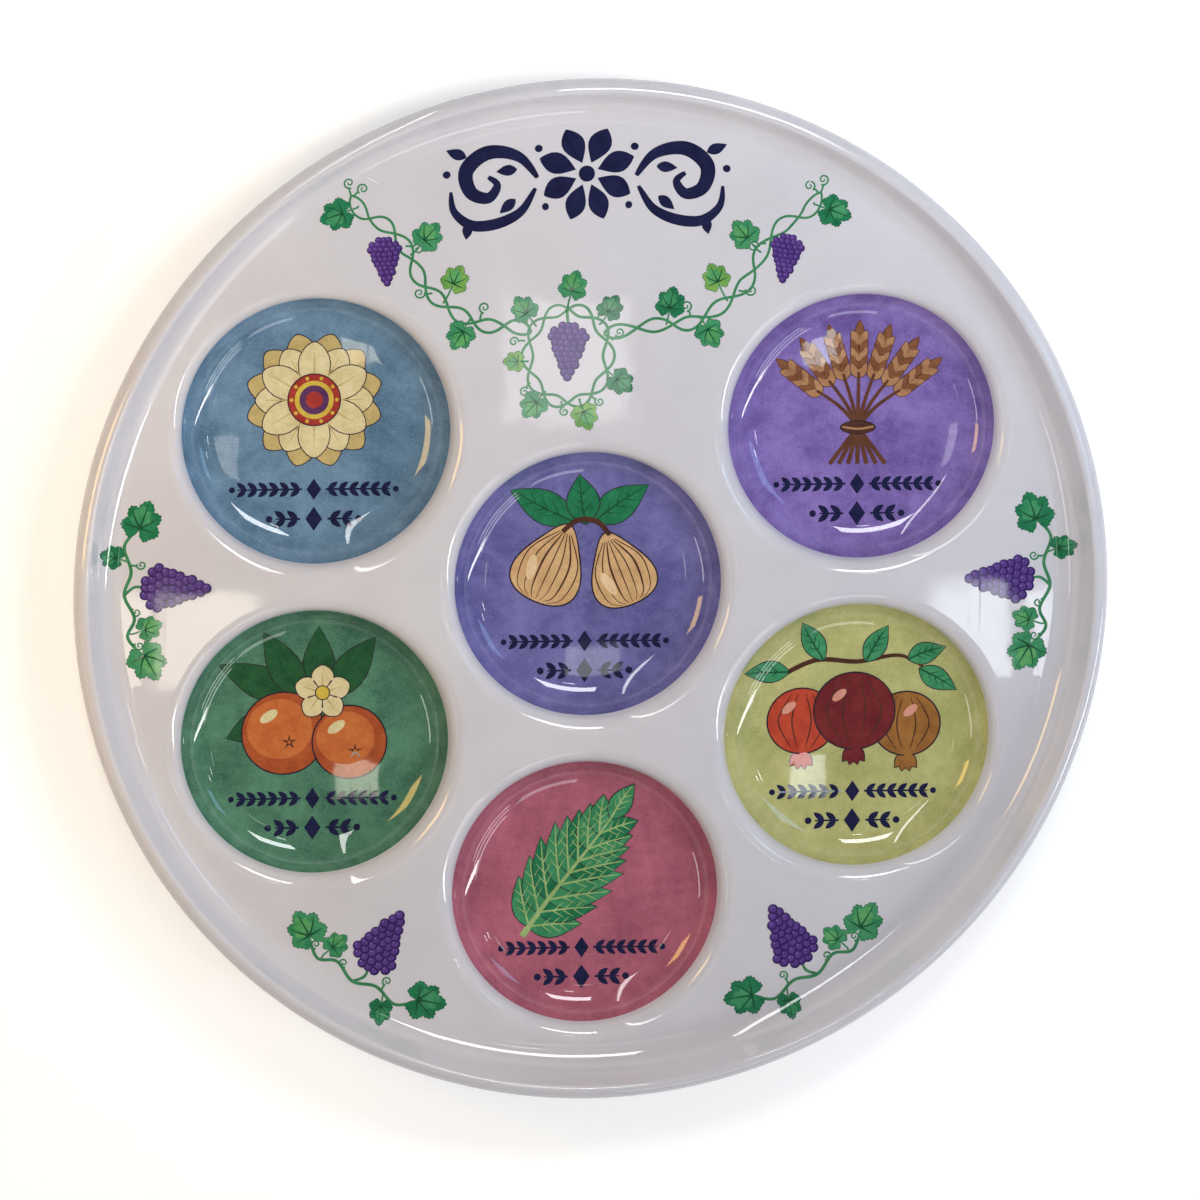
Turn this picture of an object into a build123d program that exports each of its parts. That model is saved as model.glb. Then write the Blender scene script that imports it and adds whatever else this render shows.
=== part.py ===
from build123d import *
import math
import os

# A round moulded plate with six wells and printed foils pressed into its face.
# Sizes are in millimetres and angles in degrees. The plate stands on its foot rings at Z = 0,
# its axis is Z, and the heading is on the +Y side.

# Moulding
wall = 3.0
foot_height = 1.0
foot_width = 2.5
foot_inset = 0.5

# Wells: one in the middle, and the others on the places round it, counted from the right
well_mouth_radius = 44.5
well_floor_radius = 29.0
well_depth = 11.0
well_dish_round = 565.0
well_under_round = 2.0
web_between_wells = 4.0
outer_wells = ["purple", None, "blue", "green", "pink", "yellow"]

# Rim: a cove rises from the deck to a steep wall, and its crest rolls out into a lip
rim_land = 0.5
rim_run = 11.5
rim_rise = 13.0
rim_cove_round = 8.5
rim_crest_round = 1.5
lip_projection = 2.24
lip_skirt = 1.0
lip_edge_round = 0.5

# Foils: flush with the face, and clear of the lips of the wells and of each other. The heading has
# the place that no well takes, with the garland below it. A spray lies just before a well's place.
foil_thickness = 0.2
foil_gap = 1.0
well_foil_margin = 0.3
heading_depth = 27.0
heading_half_span = 19.5
garland_middle_gap = 24.5
garland_wreath_radius = 27.0
garland_limb_width = 30.0
garland_limb_angle = 34.0
garland_end_inset = 6.0
spray_depth = 38.0
spray_half_span = 12.0
foil_cove_slope = 60.0
sprays = ["right", None, None, "left", "lower_left", "lower_right"]

# Heights and radii that follow from the sizes above
floor_top = foot_height + wall
deck_top = floor_top + well_depth
deck_bottom = deck_top - wall
crest_top = deck_top + rim_rise
ring_step = 360 / len(outer_wells)
pattern_radius = (well_mouth_radius + web_between_wells / 2) / math.sin(math.radians(ring_step / 2))
deck_radius = pattern_radius + well_mouth_radius + rim_land
crest_radius = deck_radius + rim_run
heading_angle = (outer_wells.index(None) + 0.5) * ring_step
heading_outer_radius = deck_radius - foil_gap
heading_inner_radius = heading_outer_radius - heading_depth
garland_middle_radius = well_mouth_radius + garland_middle_gap
garland_end_radius = deck_radius - garland_end_inset
spray_inner_radius = deck_radius - spray_depth

# A well is three tangent arcs: its floor is a shallow dish, the bowl curves up and the lip curves over
well_run = well_mouth_radius - well_floor_radius
well_slope = 2 * math.atan(well_depth / well_run)
well_lip_round = well_under_round + wall
bowl_round = well_run / math.sin(well_slope) - well_lip_round
well_foil_radius = well_floor_radius + bowl_round * math.sin(well_slope) - well_foil_margin
well_foil_slope = math.asin((well_foil_radius - well_floor_radius) / bowl_round)
dish_slope = math.asin(well_floor_radius / (well_dish_round - bowl_round))
dish_centre_height = floor_top + bowl_round + (well_dish_round - bowl_round) * math.cos(dish_slope)

# The rim's wall is the straight line that touches the cove's arc and the crest's arc
centre_rise = rim_rise - rim_crest_round - rim_cove_round
centre_gap = math.hypot(rim_run, centre_rise)
rim_slope = math.atan2(centre_rise, rim_run) + math.asin((rim_cove_round + rim_crest_round) / centre_gap)
wall_foot_radius = deck_radius + (rim_cove_round + wall) * math.sin(rim_slope)
wall_foot_height = deck_top + rim_cove_round - (rim_cove_round + wall) * math.cos(rim_slope)

# The lip is a quarter round from the crest, with a short skirt that stands clear of the wall
wall_lean = 1 / math.tan(rim_slope)
skirt_reach = (crest_top - lip_skirt - wall_foot_height) * wall_lean
lip_round = (wall_foot_radius - crest_radius + lip_projection + skirt_reach) / (1 + wall_lean)
lip_bottom = crest_top - lip_round - lip_skirt
lip_wall_radius = wall_foot_radius + (lip_bottom - wall_foot_height) * wall_lean
outer_radius = crest_radius + lip_round


def polar(radius, angle):
    """A point in plan at a radius and an angle in degrees."""
    return radius * math.cos(math.radians(angle)), radius * math.sin(math.radians(angle))


def turned(edges, span=360):
    """The solid that a closed outline of radius and height makes when it turns about Z."""
    return revolve(Plane.XZ * make_face(edges), Axis.Z, span)


def bowl_line(sunk, slope):
    """A well's dished floor and bowl up to a slope in radians, sunk below the face by a thickness."""
    dish = CenterArc((0, dish_centre_height), well_dish_round + sunk, -90, math.degrees(dish_slope))
    return [dish, bowl_arc(sunk, dish_slope, slope)]


def bowl_arc(sunk, first_slope, last_slope):
    """A well's bowl from one slope in radians to another, sunk below the face by a thickness."""
    centre = (well_floor_radius, floor_top + bowl_round)
    start = math.degrees(first_slope) - 90
    return CenterArc(centre, bowl_round + sunk, start, math.degrees(last_slope - first_slope))


def cove_arc(sunk, slope):
    """The rim's cove up to a slope in radians, sunk below the face by a thickness."""
    centre = (deck_radius, deck_top + rim_cove_round)
    return CenterArc(centre, rim_cove_round + sunk, -90, math.degrees(slope))


def well_shell():
    """One well on the Z axis: bowl, lip and foot ring, out to the edge of its mouth."""
    slope = math.degrees(well_slope)
    floor, bowl = bowl_line(0, well_slope)
    lip_centre = (well_mouth_radius, deck_top - well_lip_round)
    lip = CenterArc(lip_centre, well_lip_round, 90, slope)
    lip_under = CenterArc(lip_centre, well_under_round, 90, slope)
    mouth = Line((well_mouth_radius, deck_top), (well_mouth_radius, deck_bottom))
    bowl_under = bowl_arc(wall, 0, well_slope)
    foot_outer = well_floor_radius - foot_inset
    foot_inner = foot_outer - foot_width
    underside = Polyline(
        (well_floor_radius, foot_height),
        (foot_outer, foot_height),
        (foot_outer, 0),
        (foot_inner, 0),
        (foot_inner, foot_height),
        (0, foot_height),
        floor @ 0,
    )
    return turned([floor, bowl, lip, mouth, lip_under, bowl_under, underside])


def deck_and_rim():
    """The flat deck and the rim round it, before the wells are let into the deck."""
    cove = cove_arc(0, rim_slope)
    cove_under = cove_arc(wall, rim_slope)
    crest_centre = (crest_radius, crest_top - rim_crest_round)
    crest = CenterArc(crest_centre, rim_crest_round, 90, math.degrees(rim_slope))
    lip = CenterArc((crest_radius, crest_top - lip_round), lip_round, 0, 90)
    edge_centre = (outer_radius - lip_edge_round, lip_bottom + lip_edge_round)
    edge = CenterArc(edge_centre, lip_edge_round, -90, 90)
    outline = [
        Line((0, deck_top), (deck_radius, deck_top)),
        cove,
        Line(cove @ 1, crest @ 1),
        crest,
        lip,
        Line(lip @ 0, edge @ 1),
        edge,
        Polyline(edge @ 0, (lip_wall_radius, lip_bottom), cove_under @ 1),
        cove_under,
        Polyline((deck_radius, deck_bottom), (0, deck_bottom), (0, deck_top)),
    ]
    return turned(outline)


def well_layer(proud):
    """A round layer on the Z axis from a well foil's back to a height proud of the floor and bowl."""
    face = bowl_line(-proud, well_foil_slope)
    back = bowl_line(foil_thickness, well_foil_slope)
    middle = Line(face[0] @ 0, back[0] @ 0)
    rim = Line(face[1] @ 1, back[1] @ 1)
    return turned([*face, *back, middle, rim])


def face_layer(proud):
    """A layer of deck and cove, clear of the wells, from a foil's back to a height proud of the face."""
    slope = math.radians(foil_cove_slope)
    face = cove_arc(-proud, slope)
    back = cove_arc(foil_thickness, slope)
    middle = Polyline(face @ 0, (0, deck_top + proud), (0, deck_top - foil_thickness), back @ 0)
    layer = turned([face, back, middle, Line(face @ 1, back @ 1)])
    return layer - [place * well_room for place in well_places.values()]


def sector(inner_radius, rim_radius, half_span):
    """An upright block between two radii, to each side of the X axis, as tall as the plate."""
    corners = [(inner_radius, 0), (rim_radius, 0), (rim_radius, crest_top), (inner_radius, crest_top)]
    return Rot(0, 0, -half_span) * turned(Polyline(*corners, close=True), 2 * half_span)


def garland_block():
    """An upright block in the garland's outline: a round wreath with a limb past each side of the heading."""
    middle = Vector(*polar(garland_middle_radius, heading_angle))
    outline = Pos(middle) * Circle(garland_wreath_radius)
    for side in (-1, 1):
        end = Vector(*polar(garland_end_radius, heading_angle + side * garland_limb_angle))
        reach = end - middle
        angle = math.degrees(math.atan2(reach.Y, reach.X))
        limb = SlotCenterToCenter(reach.length, garland_limb_width, rotation=angle)
        outline += Pos((middle + end) / 2) * limb
    heading_room = sector(
        heading_inner_radius - foil_gap,
        crest_radius,
        heading_half_span + math.degrees(foil_gap / heading_inner_radius),
    )
    return extrude(outline, crest_top) - Rot(0, 0, heading_angle) * heading_room


# The places of the wells, and the room that the other foils leave round them
well_places = {"indigo": Pos(0, 0)}
for place, colour in enumerate(outer_wells):
    if colour:
        well_places[colour] = Pos(*polar(pattern_radius, (place + 0.5) * ring_step))
well_hole = Cylinder(well_mouth_radius, 2 * crest_top)
well_room = Cylinder(well_mouth_radius + foil_gap, 2 * crest_top)

# Each foil fills a recess. The cut for the recess goes on above the face, so it opens cleanly.
foils = {}
recesses = []
for colour, place in well_places.items():
    foils["well_foil_" + colour] = place * well_layer(0)
    recesses.append(place * well_layer(foil_thickness))
heading_block = sector(heading_inner_radius, heading_outer_radius, heading_half_span)
spray_block = sector(spray_inner_radius, crest_radius, spray_half_span)
foil_face = face_layer(0)
recess_face = face_layer(foil_thickness)
blocks = {"heading_foil": Rot(0, 0, heading_angle) * heading_block, "garland_foil": garland_block()}
for name, block in blocks.items():
    foils[name] = foil_face & block
    recesses.append(recess_face & block)
spray_foil = foil_face & spray_block
spray_recess = recess_face & spray_block
for place, side in enumerate(sprays):
    if side:
        turn = Rot(0, 0, place * ring_step)
        foils["spray_" + side + "_foil"] = turn * spray_foil
        recesses.append(turn * spray_recess)

plate_body = deck_and_rim() - [place * well_hole for place in well_places.values()]
plate_body += [place * well_shell() for place in well_places.values()]
plate_body -= recesses

os.makedirs("parts", exist_ok=True)
for name, solid in {"plate_body": plate_body, **foils}.items():
    export_step(solid, "parts/" + name + ".step")

print("diameter", round(2 * outer_radius, 2), "height", round(crest_top, 2))
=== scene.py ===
import bpy
import bmesh
import math
from mathutils import Matrix, Vector
from mathutils.geometry import delaunay_2d_cdt


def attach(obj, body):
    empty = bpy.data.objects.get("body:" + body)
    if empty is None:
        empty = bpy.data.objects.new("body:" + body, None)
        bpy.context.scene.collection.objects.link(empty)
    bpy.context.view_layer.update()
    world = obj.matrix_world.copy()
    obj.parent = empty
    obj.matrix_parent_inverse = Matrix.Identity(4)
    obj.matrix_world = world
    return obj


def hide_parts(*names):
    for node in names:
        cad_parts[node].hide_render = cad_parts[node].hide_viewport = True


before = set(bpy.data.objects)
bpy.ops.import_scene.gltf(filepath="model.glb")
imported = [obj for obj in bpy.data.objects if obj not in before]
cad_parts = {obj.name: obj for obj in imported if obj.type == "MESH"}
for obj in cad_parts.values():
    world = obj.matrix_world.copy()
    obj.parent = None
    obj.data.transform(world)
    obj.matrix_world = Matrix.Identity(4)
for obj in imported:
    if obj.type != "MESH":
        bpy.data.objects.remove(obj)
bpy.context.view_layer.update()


# Plate moulding: one shell of white melamine resin, 3 mm thick, pressed hot in a polished mould.
# A flat deck carries six round wells, a coved rim with a rolled lip, and a foot ring under each
# well. Sizes are in millimetres, and a radius and a height make each point of an outline.
wall = 3.0
foil_thickness = 0.2
foil_margin = 0.3
floor_top = 4.0
deck_top = 15.0
deck_bottom = deck_top - wall
crest_top = 28.0
floor_radius = 29.0
mouth_radius = 44.5
well_lip_round = 5.0
under_lip_round = well_lip_round - wall
well_slope = math.degrees(2 * math.atan((deck_top - floor_top) / (mouth_radius - floor_radius)))
bowl_round = (mouth_radius - floor_radius) / math.sin(math.radians(well_slope)) - well_lip_round
dish_round = 565.0
dish_slope = math.degrees(math.asin(floor_radius / (dish_round - bowl_round)))
dish_drop = (dish_round - bowl_round) * math.cos(math.radians(dish_slope))
dish_centre = (0, floor_top + bowl_round + dish_drop)
foil_radius = floor_radius + bowl_round * math.sin(math.radians(well_slope)) - foil_margin
foil_slope = math.degrees(math.asin((foil_radius - floor_radius) / bowl_round))
foot_outer = 28.5
foot_inner = 26.0
foot_height = 1.0
foot_round = 0.35
deck_radius = 138.0
crest_radius = 149.5
cove_round = 8.5
crest_round = 1.5
lip_round = 3.0
lip_bottom = 24.0
lip_edge_round = 0.5
flat_strip = 0.2
rim_steps = 288
well_steps = 120
ring_radius = 93.0
ring_angles = {"purple": 30, "blue": 150, "green": 210, "pink": 270, "yellow": 330}


def polar(radius, angle):
    """A place at a radius and an angle in degrees."""
    return radius * math.cos(math.radians(angle)), radius * math.sin(math.radians(angle))


well_centres = {"indigo": (0.0, 0.0)}
for colour, angle in ring_angles.items():
    well_centres[colour] = polar(ring_radius, angle)


def arc(centre, radius, start, stop, steps):
    """Points of an arc in an outline, from one angle in degrees to another."""
    points = []
    for step in range(steps + 1):
        x, y = polar(radius, start + (stop - start) * step / steps)
        points.append((centre[0] + x, centre[1] + y))
    return points


def circle(points, centre, radius, height, count):
    """Adds a level circle of points and returns their numbers. On the axis it is one point."""
    first = len(points)
    if radius < 0.001:
        points.append((centre[0], centre[1], height))
        return [first]
    for step in range(count):
        angle = 2 * math.pi * step / count
        x = centre[0] + radius * math.cos(angle)
        y = centre[1] + radius * math.sin(angle)
        points.append((x, y, height))
    return list(range(first, first + count))


def band(faces, one, other):
    """Joins two circles of points with faces. Either may be a single point on the axis."""
    count = max(len(one), len(other))
    for step in range(count):
        after = (step + 1) % count
        if len(one) == 1:
            faces.append((one[0], other[after], other[step]))
        elif len(other) == 1:
            faces.append((one[step], one[after], other[0]))
        else:
            faces.append((one[step], one[after], other[after], other[step]))


def turn_outline(points, faces, outline, centre, count):
    """Turns an outline about an upright axis and returns the first and the last circle of points."""
    circles = [circle(points, centre, radius, height, count) for radius, height in outline]
    for one, other in zip(circles, circles[1:]):
        band(faces, one, other)
    return circles[0], circles[-1]


crease = math.radians(35)


def make_piece(name, points, faces, materials, inks=None):
    """A smooth mesh in metres from points in millimetres, with its faces turned outwards."""
    mesh = bpy.data.meshes.new(name)
    mesh.from_pydata([(x / 1000, y / 1000, z / 1000) for x, y, z in points], [], faces)
    for material in materials:
        mesh.materials.append(material)
    if inks:
        mesh.polygons.foreach_set("material_index", inks)
    shell = bmesh.new()
    shell.from_mesh(mesh)
    bmesh.ops.recalc_face_normals(shell, faces=shell.faces)
    shell.to_mesh(mesh)
    shell.free()
    mesh.polygons.foreach_set("use_smooth", [True] * len(mesh.polygons))
    mesh.set_sharp_from_angle(angle=crease)
    piece = bpy.data.objects.new(name, mesh)
    bpy.context.scene.collection.objects.link(piece)
    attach(piece, "root")
    return piece


well_face = arc(dish_centre, dish_round + foil_thickness, -90, -90 + dish_slope, 4)
bowl_centre = (floor_radius, floor_top + bowl_round)
lip_centre = (mouth_radius, deck_top - well_lip_round)
well_face += arc(bowl_centre, bowl_round + foil_thickness, -90 + dish_slope, -90 + foil_slope, 12)[1:]
well_face += arc(bowl_centre, bowl_round, -90 + foil_slope, -90 + well_slope, 2)
well_face += arc(lip_centre, well_lip_round, 90 + well_slope, 90, 14)[1:]
well_face.append((mouth_radius + flat_strip, deck_top))

well_under = [(mouth_radius + flat_strip, deck_bottom)]
well_under += arc(lip_centre, under_lip_round, 90, 90 + well_slope, 8)
well_under += arc(bowl_centre, bowl_round + wall, -90 + well_slope, -90, 12)[1:]
well_under += [(foot_outer, foot_height)]
well_under += arc((foot_outer - foot_round, foot_round), foot_round, 0, -90, 3)
well_under += arc((foot_inner + foot_round, foot_round), foot_round, -90, -180, 3)
well_under += [(foot_inner, foot_height), (foot_inner - 2 * flat_strip, foot_height), (0, foot_height)]

centre_rise = crest_top - crest_round - cove_round - deck_top
centre_gap = math.hypot(crest_radius - deck_radius, centre_rise)
wall_turn = math.asin((cove_round + crest_round) / centre_gap)
rim_slope = math.degrees(math.atan2(centre_rise, crest_radius - deck_radius) + wall_turn)
cove_centre = (deck_radius, deck_top + cove_round)
cove_under = arc(cove_centre, cove_round + wall, -90 + rim_slope, -90, 14)
wall_lean = 1 / math.tan(math.radians(rim_slope))
lip_wall_radius = cove_under[0][0] + (lip_bottom - cove_under[0][1]) * wall_lean
rim = [(deck_radius - flat_strip, deck_top)]
rim += arc(cove_centre, cove_round, -90, -90 + rim_slope, 18)
rim += arc((crest_radius, crest_top - crest_round), crest_round, 90 + rim_slope, 90, 10)
rim += arc((crest_radius, crest_top - lip_round), lip_round, 90, 0, 12)[1:]
edge_centre = (crest_radius + lip_round - lip_edge_round, lip_bottom + lip_edge_round)
rim += arc(edge_centre, lip_edge_round, 0, -90, 5)
rim += [(lip_wall_radius, lip_bottom)]
rim += cove_under
rim += [(deck_radius - flat_strip, deck_bottom)]

body_points = []
body_faces = []
rim_top, rim_bottom = turn_outline(body_points, body_faces, rim, (0, 0), rim_steps)
mouths = []
for centre in well_centres.values():
    mouths.append(turn_outline(body_points, body_faces, well_face, centre, well_steps)[1])
under_mouths = []
for centre in well_centres.values():
    under_mouths.append(turn_outline(body_points, body_faces, well_under, centre, well_steps)[0])
for outer, holes in ((rim_top, mouths), (rim_bottom, under_mouths)):
    numbers = list(outer)
    edges = [(step, (step + 1) % len(outer)) for step in range(len(outer))]
    for hole in holes:
        first = len(numbers)
        numbers += hole
        edges += [(first + step, first + (step + 1) % len(hole)) for step in range(len(hole))]
    plan = [Vector(body_points[number][:2]) for number in numbers]
    corners, _, triangles, sources, _, _ = delaunay_2d_cdt(plan, edges, [], 0, 1e-6)
    for triangle in triangles:
        middle = sum((corners[corner] for corner in triangle), Vector((0, 0))) / 3
        gaps = [(middle - Vector(centre)).length for centre in well_centres.values()]
        if min(gaps) > mouth_radius + flat_strip:
            body_faces.append(tuple(numbers[sources[corner][0]] for corner in triangle))


def tint(red, green, blue):
    """A colour written as on screen, 0 to 255, turned into the linear values that a socket takes."""
    values = []
    for part in (red / 255, green / 255, blue / 255):
        values.append(part / 12.92 if part <= 0.04045 else ((part + 0.055) / 1.055) ** 2.4)
    return (*values, 1.0)


def new_group(name, inputs, outputs):
    """An empty shader node group with named sockets, and its input and output nodes."""
    group = bpy.data.node_groups.new(name, "ShaderNodeTree")
    for label, kind, value in inputs:
        socket = group.interface.new_socket(label, in_out="INPUT", socket_type=kind)
        socket.default_value = value
    for label, kind in outputs:
        group.interface.new_socket(label, in_out="OUTPUT", socket_type=kind)
    return group, group.nodes.new("NodeGroupInput"), group.nodes.new("NodeGroupOutput")


def add_node(tree, kind, values=None, **settings):
    """Adds a node, sets its options, and sets or links its inputs."""
    node = tree.nodes.new(kind)
    for label, value in settings.items():
        setattr(node, label, value)
    for label, value in (values or {}).items():
        if isinstance(value, bpy.types.NodeSocket):
            tree.links.new(value, node.inputs[label])
        else:
            node.inputs[label].default_value = value
    return node


def add_noise(tree, place, per_mm, detail, roughness=0.5):
    """A noise of a given number of cells in each millimetre, as a value of about 0.3 to 0.7."""
    values = {"Vector": place, "Scale": 1000 * per_mm, "Detail": detail, "Roughness": roughness}
    return add_node(tree, "ShaderNodeTexNoise", values).outputs["Fac"]


def add_math(tree, operation, one, other):
    """One operation on two values."""
    return add_node(tree, "ShaderNodeMath", {0: one, 1: other}, operation=operation).outputs[0]


def add_range(tree, value, low, high, new_low, new_high):
    """A value carried from one range to another and held there."""
    values = {"Value": value, "From Min": low, "From Max": high, "To Min": new_low, "To Max": new_high}
    return add_node(tree, "ShaderNodeMapRange", values).outputs["Result"]


# The polish of the mould: faint long ripples, hair scratches from use, and a little smudging
gloss, gloss_in, gloss_out = new_group(
    "moulded_gloss",
    [("Polish", "NodeSocketFloat", 0.02), ("Wear", "NodeSocketFloat", 1.0)],
    [("Roughness", "NodeSocketFloat"), ("Ripple", "NodeSocketFloat")],
)
place = add_node(gloss, "ShaderNodeTexCoord").outputs["Object"]
smudge = add_range(gloss, add_noise(gloss, place, 0.03, 3), 0.45, 0.7, 0.0, 0.02)
scratch = None
for lean in (0.4, 1.9):
    values = {"Vector": place, "Rotation": (0, 0, lean), "Scale": (1.0, 0.02, 1.0)}
    stretched = add_node(gloss, "ShaderNodeMapping", values).outputs["Vector"]
    line = add_range(gloss, add_noise(gloss, stretched, 0.9, 2), 0.69, 0.74, 0.0, 0.08)
    scratch = line if scratch is None else add_math(gloss, "MAXIMUM", scratch, line)
marks = add_math(gloss, "MULTIPLY", add_math(gloss, "ADD", smudge, scratch), gloss_in.outputs["Wear"])
gloss.links.new(add_math(gloss, "ADD", marks, gloss_in.outputs["Polish"]), gloss_out.inputs["Roughness"])
gloss.links.new(add_noise(gloss, place, 0.06, 2), gloss_out.inputs["Ripple"])

# Colour that settles unevenly: soft clouds, smaller blots, and a fine grain
wash, wash_in, wash_out = new_group(
    "settled_colour",
    [
        ("Pale", "NodeSocketColor", (1, 1, 1, 1)),
        ("Deep", "NodeSocketColor", (0, 0, 0, 1)),
        ("Clouds per mm", "NodeSocketFloat", 0.1),
        ("Grain", "NodeSocketFloat", 0.1),
    ],
    [("Color", "NodeSocketColor")],
)
place = add_node(wash, "ShaderNodeTexCoord").outputs["Object"]
scaled = add_node(wash, "ShaderNodeVectorMath", {0: place}, operation="SCALE")
wash.links.new(add_math(wash, "MULTIPLY", wash_in.outputs["Clouds per mm"], 10.0), scaled.inputs["Scale"])
clouds = add_range(wash, add_noise(wash, scaled.outputs[0], 0.1, 5, 0.62), 0.34, 0.66, 0.0, 0.75)
blots = add_range(wash, add_noise(wash, scaled.outputs[0], 0.42, 3, 0.55), 0.36, 0.64, 0.0, 0.25)
grain = add_range(wash, add_noise(wash, place, 2.6, 1), 0.3, 0.7, -0.5, 0.5)
grain = add_math(wash, "MULTIPLY", grain, wash_in.outputs["Grain"])
depth = add_math(wash, "ADD", add_math(wash, "ADD", clouds, blots), grain)
mixed = add_node(wash, "ShaderNodeMix", {"Factor": depth}, data_type="RGBA")
wash.links.new(wash_in.outputs["Pale"], mixed.inputs[6])
wash.links.new(wash_in.outputs["Deep"], mixed.inputs[7])
wash.links.new(mixed.outputs[2], wash_out.inputs["Color"])


resin_ior = 1.58
polish = 0.02
wear = 1.0
ripple_height = 0.00002


def glazed(name, pale, deep, clouds_per_mm, grain):
    """Resin or print under the clear glaze: settled colour with the gloss of the mould on it."""
    material = bpy.data.materials.new(name)
    material.use_nodes = True
    tree = material.node_tree
    shader = tree.nodes["Principled BSDF"]
    shader.inputs["IOR"].default_value = resin_ior
    values = {"Pale": tint(*pale), "Deep": tint(*deep), "Clouds per mm": clouds_per_mm, "Grain": grain}
    colour = add_node(tree, "ShaderNodeGroup", values, node_tree=wash)
    finish = add_node(tree, "ShaderNodeGroup", {"Polish": polish, "Wear": wear}, node_tree=gloss)
    values = {"Height": finish.outputs["Ripple"], "Strength": 1.0, "Distance": ripple_height}
    bump = add_node(tree, "ShaderNodeBump", values)
    tree.links.new(colour.outputs["Color"], shader.inputs["Base Color"])
    tree.links.new(finish.outputs["Roughness"], shader.inputs["Roughness"])
    tree.links.new(bump.outputs["Normal"], shader.inputs["Normal"])
    return material


plate_white = glazed("plate_white_resin", (220, 219, 226), (213, 211, 219), 0.02, 0.05)
plate = make_piece("plate_moulding", body_points, body_faces, [plate_white])
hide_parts("plate_body")


# Well foils: round printed papers, 0.2 mm thick, laid in the wells and soaked with clear resin
# in the mould, so each is flush with the moulding. A painted wash covers the paper to its edge,
# and a picture of a plant with two laurel bands below it is printed on the wash in more inks.
back_gap = 0.01
foil_face = arc(dish_centre, dish_round, -90, -90 + dish_slope, 10)
foil_face += arc(bowl_centre, bowl_round, -90 + dish_slope, -90 + foil_slope, 26)[1:]
foil_back = arc(bowl_centre, bowl_round + foil_thickness - back_gap, -90 + foil_slope, -90 + dish_slope, 8)
foil_back += arc(dish_centre, dish_round + foil_thickness - back_gap, -90 + dish_slope, -90, 4)[1:]
dish_radius = dish_round * math.sin(math.radians(dish_slope))
steepest = 0.98


def well_ground(x, y):
    """The height and the lean of a well's face at a place measured from the well's middle."""
    radius = math.hypot(x, y)
    if radius < dish_radius:
        lean = math.asin(radius / dish_round)
        return dish_centre[1] - dish_round * math.cos(lean), lean
    lean = math.asin(min(steepest, (radius - floor_radius) / bowl_round))
    return bowl_centre[1] - bowl_round * math.cos(lean), lean


def new_print(ground):
    """A foil's points, its faces, the ink of each face, and the face of the plate that it lies on."""
    return {"ground": ground, "size": 1.0, "points": [], "faces": [], "inks": []}


def lifted(foil, x, y, lift):
    """A place of a drawing on a foil, raised square to its face by a part of a millimetre."""
    x *= foil["size"]
    y *= foil["size"]
    height, lean = foil["ground"](x, y)
    radius = math.hypot(x, y) or 1.0
    inward = lift * math.sin(lean)
    return x - inward * x / radius, y - inward * y / radius, height + lift * math.cos(lean)


def add_face(foil, ink, *corners):
    """One face in one ink."""
    foil["faces"].append(corners)
    foil["inks"].append(ink)


ink_root = -0.004
line_step = 0.012
curved_lean = 0.06
fine_grain = 0.7
coarse_grain = 4.0


def lay_patch(foil, middle, outline, lift, ink):
    """A closed skin of ink inside an outline, in rings round a middle point, closer on curved ground."""
    size = foil["size"]
    lean = max(foil["ground"](x * size, y * size)[1] for x, y in outline)
    grain = fine_grain / size if lean > curved_lean else coarse_grain
    edge = []
    for (x, y), (after_x, after_y) in zip(outline, outline[1:] + outline[:1]):
        parts = 1 + int(math.hypot(after_x - x, after_y - y) / grain)
        edge += [(x + (after_x - x) * k / parts, y + (after_y - y) * k / parts) for k in range(parts)]
    outline = edge
    count = len(outline)
    rings = 1 + int(max(math.dist(middle, point) for point in outline) / grain)
    starts = []
    for level in (lift, ink_root):
        starts.append(len(foil["points"]))
        foil["points"].append(lifted(foil, *middle, level))
        for ring in range(1, rings + 1):
            for x, y in outline:
                x = middle[0] + (x - middle[0]) * ring / rings
                y = middle[1] + (y - middle[1]) * ring / rings
                foil["points"].append(lifted(foil, x, y, level))
    for step in range(count):
        after = (step + 1) % count
        for start in starts:
            add_face(foil, ink, start, start + 1 + step, start + 1 + after)
            for ring in range(1, rings):
                inner = start + 1 + (ring - 1) * count
                outer = inner + count
                add_face(foil, ink, inner + step, outer + step, outer + after, inner + after)
        top, bottom = (start + 1 + (rings - 1) * count for start in starts)
        add_face(foil, ink, top + step, bottom + step, bottom + after, top + after)


def way_along(path, step):
    """The direction of a path at one of its points."""
    before = path[max(0, step - 1)]
    after = path[min(len(path) - 1, step + 1)]
    return Vector((after[0] - before[0], after[1] - before[1])).normalized()


def lay_stroke(foil, path, widths, lift, ink):
    """A brush stroke along a path, with its width at the start, the middle and the end."""
    first = len(foil["points"])
    last = len(path) - 1
    for step, (x, y) in enumerate(path):
        way = way_along(path, step)
        share = step / last
        half = (widths[0] * (1 - share) ** 2 + widths[2] * share ** 2) / 2 + widths[1] * share * (1 - share)
        level = lift + line_step * share
        for side, height in ((1, level), (-1, level), (-1, ink_root), (1, ink_root)):
            foil["points"].append(lifted(foil, x - side * half * way.y, y + side * half * way.x, height))
    for step in range(last):
        start = first + 4 * step
        for corner in range(4):
            after = (corner + 1) % 4
            add_face(foil, ink, start + corner, start + after, start + 4 + after, start + 4 + corner)
    end = first + 4 * last
    add_face(foil, ink, first, first + 1, first + 2, first + 3)
    add_face(foil, ink, end, end + 1, end + 2, end + 3)


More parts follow.
